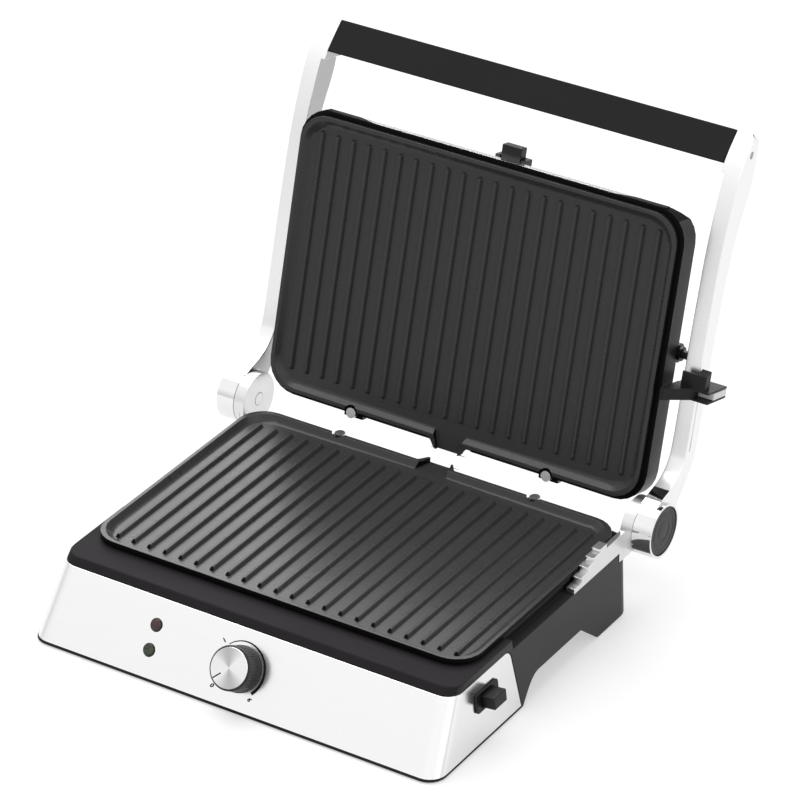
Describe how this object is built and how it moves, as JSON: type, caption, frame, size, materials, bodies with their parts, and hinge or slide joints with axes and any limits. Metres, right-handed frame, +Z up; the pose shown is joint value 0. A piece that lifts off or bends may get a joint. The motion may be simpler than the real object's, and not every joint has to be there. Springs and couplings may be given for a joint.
{
  "type": "indoor electric grill",
  "caption": "Indoor electric contact grill with ribbed lift-off plates, a hinged lid that opens flat, floating upper plate, dial and height stop.",
  "frame": {"origin": "on the table plane, under the middle of the base", "axes": "+Z up, -Y towards the cook, +X to the cook's right"},
  "size_m": [0.396, 0.431, 0.3361],
  "materials": {
    "black_plastic": "fine satin",
    "grey_plastic": "satin",
    "black_sheet": "matt paint on sheet steel",
    "brushed_steel": "brushed",
    "heater_steel": "heat-dulled",
    "spring_steel": "smooth",
    "chrome": "polished",
    "cast_metal": "fine cast",
    "bright_aluminium": "rolled",
    "coated_aluminium": "dark non-stick coating",
    "rubber": "moulded",
    "red_lens": "unlit tinted lens",
    "green_lens": "unlit tinted lens"
  },
  "bodies": {
    "base": {"base_housing": "black_plastic", "steel_apron": "brushed_steel", "bottom_cover": "black_sheet", "power_inlet": "black_plastic", "foot_front_left": "rubber", "foot_front_right": "rubber", "foot_rear_left": "rubber", "foot_rear_right": "rubber", "thermostat": "grey_plastic", "indicator_red": "red_lens", "indicator_green": "green_lens", "indicator_board": "grey_plastic", "lower_release_bezel": "black_plastic", "lower_release_guide": "grey_plastic", "lower_release_spring": "spring_steel", "lower_reflector": "bright_aluminium", "lower_heater": "heater_steel", "lower_peg_left": "cast_metal", "lower_peg_right": "cast_metal", "hinge_bracket_left": "cast_metal", "hinge_bracket_right": "cast_metal", "hinge_pin_left": "spring_steel", "hinge_pin_right": "spring_steel"},
    "dial": {"dial_knob": "black_plastic", "dial_face": "brushed_steel", "dial_shaft": "bright_aluminium"},
    "lower_release": {"lower_release_button": "black_plastic"},
    "lower_plate": {"lower_plate": "coated_aluminium"},
    "lid_arms": {"arm_left": "chrome", "arm_right": "chrome", "hinge_cap_left": "grey_plastic", "hinge_cap_right": "grey_plastic", "grip": "black_plastic", "grip_core": "spring_steel", "grip_screw_left": "spring_steel", "grip_screw_right": "spring_steel", "tilt_pin_left": "spring_steel", "tilt_pin_right": "spring_steel"},
    "height_stop": {"height_slider": "black_plastic", "height_slider_plate": "chrome"},
    "upper_unit": {"upper_frame": "black_plastic", "upper_back": "brushed_steel", "upper_reflector": "bright_aluminium", "upper_heater": "heater_steel", "upper_peg_left": "cast_metal", "upper_peg_right": "cast_metal", "tilt_boss_left": "black_plastic", "tilt_boss_right": "black_plastic", "upper_release_guide": "black_plastic", "upper_release_spring": "spring_steel"},
    "upper_release": {"upper_release_button": "black_plastic"},
    "upper_plate": {"upper_plate": "coated_aluminium"}
  },
  "joints": [
    {"name": "lid_hinge", "type": "hinge", "parent": "base", "child": "lid_arms", "pos_m": [0, 0.1545, 0.06425], "axis": [1, 0, 0], "range_deg": [-75.2, 104.8]},
    {"name": "upper_tilt", "type": "hinge", "parent": "lid_arms", "child": "upper_unit", "pos_m": [0, 0.21627, 0.17825], "axis": [-1, 0, 0], "range_deg": [-15, 0]},
    {"name": "dial_turn", "type": "hinge", "parent": "base", "child": "dial", "pos_m": [0, -0.12001, 0.02792], "axis": [0, -0.8475, 0.5309], "range_deg": [-270, 0]},
    {"name": "lower_release_press", "type": "slide", "parent": "base", "child": "lower_release", "axis": [-0.9935, 0, -0.1142], "range_m": [0, 0.004], "stiffness_N_per_m": 200, "deforming": ["lower_release_spring"]},
    {"name": "lower_plate_lift", "type": "slide", "parent": "base", "child": "lower_plate", "axis": [0, 0, -1], "range_m": [-0.06, 0]},
    {"name": "height_stop_slide", "type": "slide", "parent": "lid_arms", "child": "height_stop", "axis": [0, 0.2555, 0.9668], "range_m": [-0.036, 0]},
    {"name": "upper_plate_lift", "type": "slide", "parent": "upper_unit", "child": "upper_plate", "axis": [0, 0.9668, -0.2555], "range_m": [-0.05, 0]},
    {"name": "upper_release_press", "type": "slide", "parent": "upper_unit", "child": "upper_release", "axis": [0, -0.2555, -0.9668], "range_m": [0, 0.004], "stiffness_N_per_m": 200, "deforming": ["upper_release_spring"]}
  ]
}
